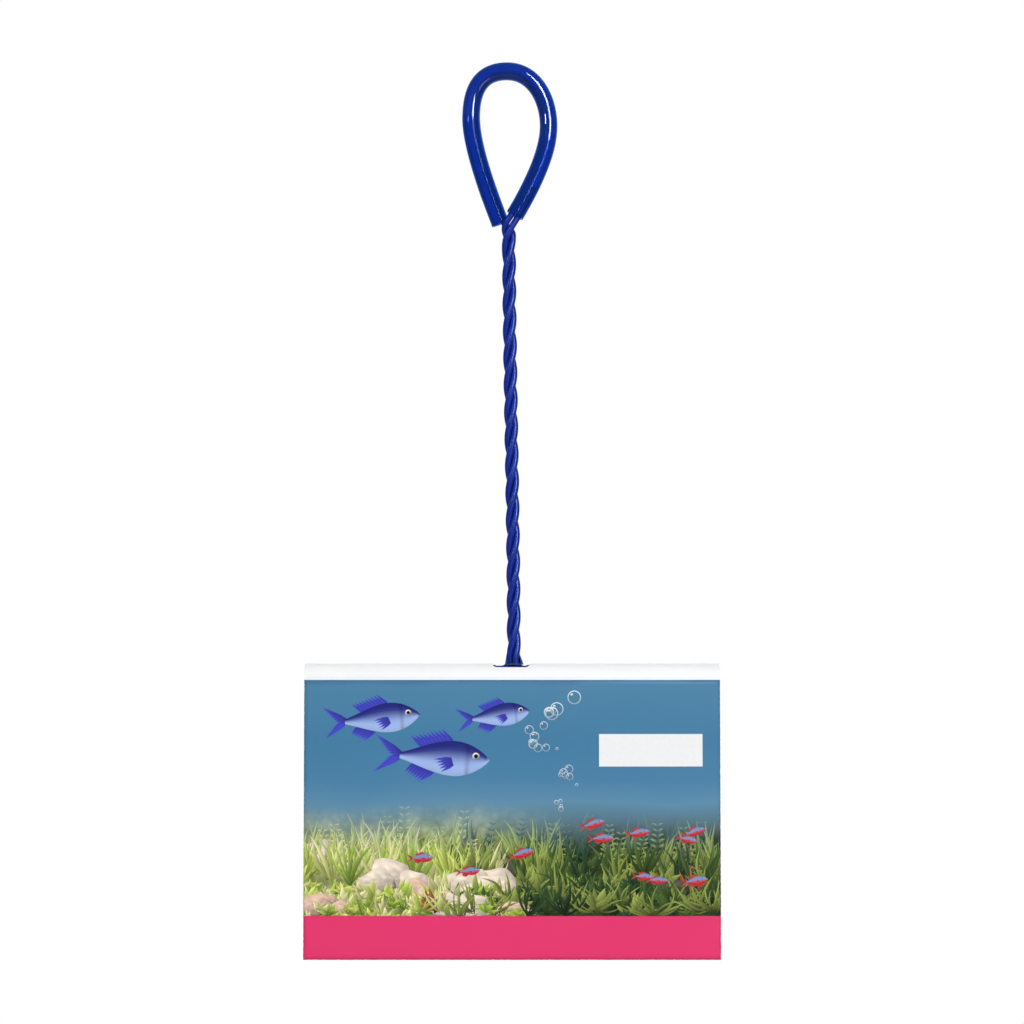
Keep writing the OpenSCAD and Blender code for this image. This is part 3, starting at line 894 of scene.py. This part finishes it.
def make_panel(name, side, node):
    def place(u, v):
        return panel_point(side, between(SLEEVE_LEFT_X, SLEEVE_RIGHT_X, u), between(SLEEVE_Z, FOLD_Z, v))

    bm = bmesh.new()
    lay_grid(bm, 90, 60, place, (SLEEVE_W, PANEL_H))
    if side > 0:
        bmesh.ops.reverse_faces(bm, faces=bm.faces)
    panel = finish_piece(
        name, bm, "sleeve", [PANEL_PRINT, INSIDE_BOARD, BOARD_CORE], [node], turned=False
    )
    board = thicken(panel, "board", BOARD_T, -1)
    board.material_offset = 1
    board.material_offset_rim = 2


# How square to a direction a face has to stand to count as facing it
SQUARE_ON = 0.9


def node_copy(name, node, materials, choose):
    """A merged copy of a CAD node, with a finish for each face."""
    bm = bmesh.new()
    bm.from_mesh(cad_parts[node].data)
    bmesh.ops.scale(bm, vec=(1 / MM,) * 3, verts=bm.verts)
    weld(bm, bm.verts)
    bm.normal_update()
    for face in bm.faces:
        face.material_index = choose(face)
    return finish_piece(name, bm, "sleeve", materials, [node], sharp=30, turned=False)


def make_sleeve():
    make_panel("card_front", -1, "sleeve_front")
    make_panel("card_back", 1, "sleeve_back")

    def fold_face(face):
        centre = face.calc_center_median()
        across_board = face.normal.dot(Vector((0, centre.y, centre.z - FOLD_Z)).normalized())
        return 0 if across_board > SQUARE_ON else 1 if across_board < -SQUARE_ON else 2

    def wall_face(face):
        outwards = face.normal.x * math.copysign(1, face.calc_center_median().x)
        return 0 if outwards > SQUARE_ON else 1

    boards = [WHITE_BOARD, INSIDE_BOARD, BOARD_CORE]
    node_copy("card_top_fold", "sleeve_fold", boards, fold_face)
    for side in ("left", "right"):
        name, node = f"card_{side}_wall", f"sleeve_{side}_side"
        node_copy(name, node, [SIDE_PRINT, INSIDE_BOARD], wall_face)


# Printed motifs


INK_STEP = 0.0006
INK_LIFT = 0.012
AIR_LIFT = 0.24
INK_MARGIN = 0.4
TOP_MARGIN = 0.5
HAZE_SHARE = 0.92
LEAF_LIT, LEAF_RIB, LEAF_SHADE = 1.15, 0.9, 0.62

# Fins of a fish one long: the first and last root of their rays, the same of their tips, number and width
FINS = (
    ((-0.36, 0.01), (-0.36, 0.0), (-0.66, 0.2), (-0.52, 0.02), 7, 0.045),
    ((-0.36, 0.0), (-0.36, -0.01), (-0.66, -0.18), (-0.52, -0.02), 7, 0.045),
    ((-0.16, 0.09), (0.14, 0.13), (-0.3, 0.2), (0.0, 0.29), 9, 0.05),
    ((-0.24, -0.07), (-0.04, -0.13), (-0.34, -0.16), (-0.2, -0.25), 7, 0.045),
)
CHEST_FIN = ((0.12, 0.0), (0.14, -0.06), (-0.06, -0.02), (0.02, -0.14), 5, 0.035)
EYE = (0.36, 0.035)
EYE_DISCS = ((0.036, (0.98, 0.98, 0.868)), (0.021, (0.014, 0.0168, 0.028)))


class Print:
    """Flat motifs printed on one side of the card; places are millimetres from its lower left corner."""

    def __init__(self, seed, lift, side=-1):
        self.sheet = bmesh.new()
        self.draw = random.Random(seed)
        self.lift = lift
        self.side = side
        self.next_plate()

    def next_plate(self):
        self.bm = bmesh.new()
        self.ink = self.bm.verts.layers.float_color.new("ink")

    def press(self):
        """Puts the motifs made so far on the sheet, so that the next ones are quick to make."""
        plate = bpy.data.meshes.new("plate")
        self.bm.to_mesh(plate)
        self.bm.free()
        self.sheet.from_mesh(plate)
        bpy.data.meshes.remove(plate)
        self.next_plate()

    def shape(self, across, along, place, colour, closed=False, hazed=True):
        """One motif: place(u, v) gives its place on the card and colour(u, v) its ink."""
        corners = bmesh.ops.create_grid(self.bm, x_segments=across, y_segments=along, size=0.5)["verts"]
        for corner in corners:
            u, v = corner.co.x + 0.5, corner.co.y + 0.5
            s, h = place(u, v)
            s = min(max(s, INK_MARGIN), SLEEVE_W - INK_MARGIN)
            h = min(max(h, BAND_H), PANEL_H - TOP_MARGIN)
            shade = colour(u, v)
            if hazed:
                share = HAZE_SHARE * soft((h - HAZE_LOW) / (HAZE_HIGH - HAZE_LOW))
                shade = [between(a, b, share) for a, b in zip(shade, HAZE)]
            x = SLEEVE_LEFT_X + s if self.side < 0 else SLEEVE_RIGHT_X - s
            corner.co = panel_point(self.side, x, SLEEVE_Z + h, self.lift)
            corner[self.ink] = (*shade[:3], 1.0)
        if closed:
            weld(self.bm, corners)
        self.lift += INK_STEP

    def leaf(self, root, tip, width, sag, dark, light, steps=5, hazed=True, full=0.8):
        """A blade from its root to its tip, one half in light and the other in shade."""
        run = (tip[0] - root[0], tip[1] - root[1])
        length = math.hypot(*run) or 1.0
        side = (-run[1] / length, run[0] / length)

        def place(u, v):
            half = width / 2 * math.sin(math.pi * min(1.0, 0.06 + 0.94 * v) ** full)
            reach = sag * math.sin(math.pi * v * 0.9) + (2 * u - 1) * half
            return root[0] + run[0] * v + side[0] * reach, root[1] + run[1] * v + side[1] * reach

        def colour(u, v):
            lit = LEAF_LIT if u > 0.6 else LEAF_SHADE if u < 0.4 else LEAF_RIB
            return [between(a, b, 0.1 + 0.9 * v) * lit for a, b in zip(dark, light)]

        self.shape(2, steps, place, colour, hazed=hazed)

    def blob(self, centre, reach, ink, lumps=0.12, squash=1.0, hazed=False):
        """A rounded stone, lit from above on the left."""
        start = self.draw.random() * 100

        def place(u, v):
            c, s = circle(u)
            radius = reach * v * (1 + lumps * noise.noise(Vector((c * 1.3 + start, s * 1.3, start))))
            return centre[0] + radius * c, centre[1] + squash * radius * s

        def colour(u, v):
            angle = math.tau * u
            lit = 0.66 + 0.42 * v * math.cos(angle - math.radians(118)) - 0.2 * v ** 6
            lit += 0.3 * noise.noise(Vector((v * 4 * math.cos(angle), v * 4 * math.sin(angle), start)))
            return [c * max(lit, 0.06) for c in ink]

        self.shape(24, 9, place, colour, closed=True, hazed=hazed)

    def ring(self, centre, radius, wall, ink):
        def place(u, v):
            x, y = circle(u, radius - wall * v)
            return centre[0] + x, centre[1] + y

        def colour(u, v):
            return [c * (0.8 + 0.25 * math.sin(math.tau * u)) for c in ink]

        self.shape(24, 1, place, colour, True, False)

    def fish(self, centre, length, lean, back, belly, fin):
        """A small plain fish: a tapered body, fins of rays and an eye."""
        c, s = math.cos(lean), math.sin(lean)

        def at(x, y):
            return centre[0] + length * (x * c - y * s), centre[1] + length * (x * s + y * c)

        def rays(first_root, last_root, first_tip, last_tip, count, width):
            for i in range(count):
                share = i / (count - 1)
                root = at(*(between(a, b, share) for a, b in zip(first_root, last_root)))
                tip = at(*(between(a, b, share) for a, b in zip(first_tip, last_tip)))
                self.leaf(root, tip, length * width, 0, fin, [1.5 * c for c in fin], 3, False, 0.6)

        for row in FINS:
            rays(*row)

        def place(u, v):
            girth = 0.165 * math.sin(math.pi * min(1.0, 0.03 + 0.97 * v) ** 1.45) ** 0.8 + 0.022 * (1 - v)
            return at(between(-0.4, 0.5, v), (2 * u - 1) * girth)

        def colour(u, v):
            lit = 0.86 + 0.24 * math.sin(math.pi * u) - 0.3 * (abs(v - 0.76) < 0.02)
            return [between(a, b, soft(1.25 - 1.5 * u)) * lit for a, b in zip(back, belly)]

        self.shape(8, 24, place, colour, closed=True, hazed=False)
        rays(*CHEST_FIN)
        for radius, ink in EYE_DISCS:
            self.blob(at(*EYE), length * radius, ink, 0.0)

    def done(self, name):
        self.press()
        self.bm.free()
        finish_piece(name, self.sheet, "sleeve", [INK], sharp=180, turned=False)


HAZE = tone(120, 156, 178)
HAZE_LOW = 62.0
HAZE_HIGH = 102.0
BED_ROWS = 10
BACK_BED_ROWS = 7
BACK_ROW_H = 60.0
FRONT_ROW_H = 27.0
LEAVES_MOST = 20
MID_S = 112.0

SUNLIT = [
    (tone(86, 116, 24), tone(242, 250, 130)),
    (tone(128, 138, 50), tone(255, 252, 184)),
    (tone(58, 92, 26), tone(200, 228, 96)),
]
SHADED = [
    (tone(10, 18, 10), tone(92, 124, 58)),
    (tone(6, 12, 8), tone(60, 94, 54)),
    (tone(18, 28, 12), tone(172, 190, 92)),
]
RUST = (tone(90, 34, 20), tone(206, 124, 78))

# Kinds of clump: leaves, their reach and width, the fan in degrees, the sag, and the steps along a leaf
TALL_GRASS = (15, (16, 36), (0.045, 0.085), 34, 0.16, 8)
BROAD_LEAVES = (11, (8, 17), (0.2, 0.34), 76, 0.12, 6)
FERN = (12, (13, 26), (0.05, 0.09), 80, 0.22, 8)
TUFT = (10, (9, 18), (0.07, 0.12), 50, 0.2, 6)
CARPET = (15, (3.5, 9), (0.22, 0.46), 88, 0.14, 4)


def clump(p, root, palette, leaves, reach, width, fan, sag, steps):
    """Leaves that fan out from one root, the lowest drawn last."""
    rand = p.draw.uniform
    fans = sorted((rand(-fan, fan) for _ in range(leaves)), key=abs)
    for turned in fans:
        angle = math.radians(90 + turned)
        length = rand(*reach) * (1 - 0.25 * abs(turned) / 90)
        grade = rand(0.6, 1.1)
        dark, light = ([c * grade for c in ink] for ink in palette)
        start = (root[0] + rand(-1.5, 1.5), root[1] + rand(-1, 1))
        tip = (start[0] + length * math.cos(angle), start[1] + length * math.sin(angle))
        p.leaf(start, tip, length * rand(*width), length * sag * rand(-1, 1), dark, light, steps)


def stem(p, root, palette, height):
    """A stem with pairs of small leaves, smaller towards its tip."""
    rand = p.draw.uniform
    sway, pairs = rand(-7, 7), (LEAVES_MOST - 1) // 2
    for i in range(pairs):
        share = i / pairs
        x, y = root[0] + sway * share ** 1.5, root[1] + height * share
        spread = rand(5, 7) * (1 - 0.55 * share)
        for way in (-1, 1):
            p.leaf((x, y), (x + way * spread, y + 0.45 * spread), spread * 0.4, 0.3 * way, *palette, 3)


def stones(p, group):
    rand = p.draw.uniform
    for s, h, reach, count, ink in group:
        for i in range(count):
            size = reach * between(1.0, 0.45, i / count)
            centre = (s + rand(-1, 1) * reach, h - 0.5 * reach * i / count)
            p.blob(centre, size, ink, 0.5, rand(0.5, 0.75), True)


PALE_STONE = tone(255, 238, 218)
ROSY_STONE = tone(244, 206, 184)
SLATE = tone(96, 92, 86)
BACK_STONES = (
    (12, 66, 12, 3, PALE_STONE), (108, 64, 13, 3, SLATE),
    (124, 54, 10, 3, SLATE), (236, 62, 12, 3, SLATE),
)
MID_STONES = (
    (58, 50, 14, 4, PALE_STONE), (82, 44, 12, 4, ROSY_STONE),
    (116, 48, 15, 5, PALE_STONE), (226, 44, 10, 4, SLATE),
)
FRONT_STONES = ((16, 34, 10, 4, ROSY_STONE), (100, 34, 13, 5, PALE_STONE), (130, 31, 9, 4, ROSY_STONE))
STONES_AFTER_ROW = {1: BACK_STONES, 5: MID_STONES, 8: FRONT_STONES}
RUST_SHARE = 0.03


def paint_bed(p, rows):
    """The planted bed from its far rows, lost in the haze, to the low leaves in front."""
    rand = p.draw.uniform
    for row in range(rows):
        near = row / (rows - 1)
        base = p.lift
        s, odd = rand(-6, 4), 0
        while s < SLEEVE_W + 6:
            p.lift = base + odd * (LEAVES_MOST + 1) * INK_STEP
            root = (s, between(BACK_ROW_H, FRONT_ROW_H, near) + rand(-4, 3))
            deep = rand(-24, 24) + s > MID_S
            palette = p.draw.choice(SHADED if deep else SUNLIT)
            if rand(0, 1) < RUST_SHARE and near > 0.4:
                palette = RUST
            kind = rand(0, 1)
            if near < 0.35 and kind < 0.3:
                stem(p, root, palette, rand(24, 38))
            elif near < 0.5 and kind < 0.72:
                clump(p, root, palette, *TALL_GRASS)
            elif kind < between(0.7, 0.12, near):
                clump(p, root, palette, *BROAD_LEAVES)
            elif deep and kind < 0.8:
                clump(p, root, palette, *FERN)
            elif kind < 0.3:
                clump(p, root, palette, *TUFT)
            else:
                clump(p, root, palette, *CARPET)
            s += between(16, 6.5, near) * rand(0.7, 1.2) * (1.5 if deep and near > 0.5 else 1.0)
            odd = 1 - odd
            p.press()
        p.lift = base + 2 * (LEAVES_MOST + 1) * INK_STEP
        stones(p, STONES_AFTER_ROW.get(row, ()))


RED_INKS = tone(116, 150, 200), tone(200, 40, 50), tone(170, 66, 60)
RED_FISH = 12
BLUE_INKS = tone(34, 40, 128), tone(160, 186, 234), tone(58, 60, 170)
BLUE_FISH = ((46, 148, 52, 0.1), (84, 124, 62, -0.06), (120, 150, 40, 0.14))
BUBBLES = 26
BUBBLE_S = 156
BUBBLE_INK = tone(214, 232, 242)
GLINT_INK = tone(250, 252, 254)
PLATE_S, PLATE_H = 182.5, 118.5
PLATE_SIZE = (64.0, 20.0)
PLATE_INK = tone(238, 239, 240)


def make_beds():
    behind = Print(71, INK_LIFT, side=1)
    paint_bed(behind, BACK_BED_ROWS)
    behind.done("print_back_bed")

    bed = Print(11, INK_LIFT)
    rand = bed.draw.uniform
    paint_bed(bed, BED_ROWS)
    for _ in range(RED_FISH):
        centre = (rand(60, 245), rand(46, 88))
        bed.fish(centre, rand(11, 15), rand(-0.3, 0.3), *RED_INKS)
    bed.done("print_planted_bed")


def make_blue_fish():
    swim = Print(23, INK_LIFT)
    for s, h, length, lean in BLUE_FISH:
        swim.fish((s, h), length, lean, *BLUE_INKS)
    swim.done("print_fish")


def make_bubbles():
    air = Print(37, AIR_LIFT)
    rand = air.draw.uniform
    for _ in range(BUBBLES):
        share = air.draw.random()
        centre = (BUBBLE_S + 11 * math.sin(7 * share) + rand(-7, 7), between(92, 164, share))
        radius = rand(0.9, 1.6 + 3.4 * share)
        air.ring(centre, radius, max(0.3, 0.14 * radius), BUBBLE_INK)
        air.blob((centre[0] - 0.35 * radius, centre[1] + 0.38 * radius), 0.2 * radius, GLINT_INK, 0.0)
    air.done("print_bubbles")


def make_plate():
    plate = Print(5, INK_LIFT)

    def place(u, v):
        return PLATE_S + PLATE_SIZE[0] * u, PLATE_H + PLATE_SIZE[1] * v

    plate.shape(16, 5, place, lambda u, v: PLATE_INK, hazed=False)
    plate.done("print_blank_plate")


# Stage, lamps and camera


MIDDLE = Vector((3.12, 0, -269.04)) * MM
CAMERA_FAR = 1.4
FRAME_W = 0.6385
FLOOR_Z = -0.86
FLOOR_R = 1.15
FILL_LEVEL = 0.4
ROOM_LEVEL = 0.07
MIRRORED_SHARE = 0.2
FLOOR_TONES = (0.8, 0.8, 0.8, 1), (0.2, 0.2, 0.2, 1)
BLACK, WHITE = (0, 0, 0, 1), (1, 1, 1, 1)


def rays_of(recipe):
    """The kinds of ray, and whether one shows what it meets by itself or through glass."""
    seen = recipe.node("LightPath").outputs
    return seen, recipe.math("MAXIMUM", seen["Is Camera Ray"], seen["Is Transmission Ray"])


def make_floor():
    bm = bmesh.new()
    bmesh.ops.create_circle(bm, cap_ends=True, segments=96, radius=FLOOR_R)
    mesh = bpy.data.meshes.new("studio_floor")
    bm.to_mesh(mesh)
    bm.free()
    mesh.transform(Matrix.Translation((0, 0, FLOOR_Z)))
    material, r, shader = finish_of(
        "studio_floor", Roughness=0.9, Specular_IOR_Level=0.1, Emission_Strength=0.32
    )
    seen, shown = rays_of(r)
    level = r.math("MAXIMUM", shown, r.math("MULTIPLY", seen["Is Glossy Ray"], MIRRORED_SHARE))
    r.feed(shader.inputs["Emission Color"], r.mix(level, BLACK, WHITE))
    r.feed(shader.inputs["Base Color"], r.mix(seen["Is Glossy Ray"], *FLOOR_TONES))
    mesh.materials.append(material)
    floor = bpy.data.objects.new("studio_floor", mesh)
    scene.collection.objects.link(floor)


def make_world():
    world = bpy.data.worlds.new("studio")
    world.use_nodes = True
    r = Recipe(world.node_tree)
    seen, shown = rays_of(r)
    background = world.node_tree.nodes["Background"]
    background.inputs["Color"].default_value = WHITE
    mirrored = r.spread(r.parts(r.place("Generated"))[1], 0.6, 0.95, ROOM_LEVEL, 1.0)
    level = r.spread(seen["Is Glossy Ray"], 0.0, 1.0, FILL_LEVEL, mirrored)
    r.feed(background.inputs["Strength"], r.spread(shown, 0.0, 1.0, level, 1.0))
    scene.world = world


# Each lamp's name, place, size, power, and whether it is only mirrored in what is glossy
LAMPS = (
    ("left_softbox", (-0.68, -1.29, 0.38), (0.2, 0.24), 3.0, False),
    ("side_softbox", (-1.35, -0.55, 0.31), (0.16, 0.14), 1.4, False),
    ("bright_softbox", (0.28, -1.33, 0.45), (0.3, 0.5), 7.2, False),
    ("right_softbox", (0.9, -1.1, 0.0), (0.5, 0.5), 3.6, False),
    ("top_softbox", (0.0, -1.0, 2.0), (2.4, 1.4), 13, False),
    ("back_softbox", (0.3, 1.8, 0.5), (1.4, 1.0), 12, False),
    ("streak_strip", (0.52, -1.24, 0.43), (0.42, 0.7), 21, True),
    ("glint_strip", (-0.89, -1.19, 0.17), (0.26, 0.12), 4.2, True),
    ("handle_strip", (0.8, -0.95, -0.5), (0.36, 0.7), 1.8, True),
)


def make_lamp(name, place, size, power, mirrored):
    """A lamp that either lights the object or is only mirrored in it."""
    data = bpy.data.lights.new(name, "AREA")
    data.shape = "RECTANGLE"
    data.size, data.size_y = size
    data.energy = power
    lamp = bpy.data.objects.new(name, data)
    lamp.location = place
    lamp.rotation_euler = (MIDDLE - Vector(place)).to_track_quat("-Z", "Y").to_euler()
    lamp.visible_glossy = mirrored
    lamp.visible_diffuse = not mirrored
    scene.collection.objects.link(lamp)


def make_camera():
    data = bpy.data.cameras.new("camera")
    data.sensor_width = 36
    data.lens = data.sensor_width * CAMERA_FAR / FRAME_W
    data.clip_start, data.clip_end = 0.01, 50
    camera = bpy.data.objects.new("camera", data)
    camera.location = MIDDLE + AHEAD * CAMERA_FAR
    camera.rotation_euler = (math.pi / 2, 0, 0)
    scene.collection.objects.link(camera)
    scene.camera = camera


make_camera()
make_grip_tube()
make_grip_wires()
make_strands()
hem = make_hem()
stitches = make_stitches()
gather = make_gather()
web = make_foot_web()
bag, bag_flat, bag_area = make_bag()
min(bag_area, bag_flat[0] * bag_flat[1])
make_sleeve()
make_beds()
make_blue_fish()
make_bubbles()
make_plate()
for node in FRAME_NODES:
    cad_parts[node].data.materials.clear()
    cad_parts[node].data.materials.append(WIRE)
make_floor()
make_world()
for lamp in LAMPS:
    make_lamp(*lamp)

scene.view_settings.view_transform = "Standard"
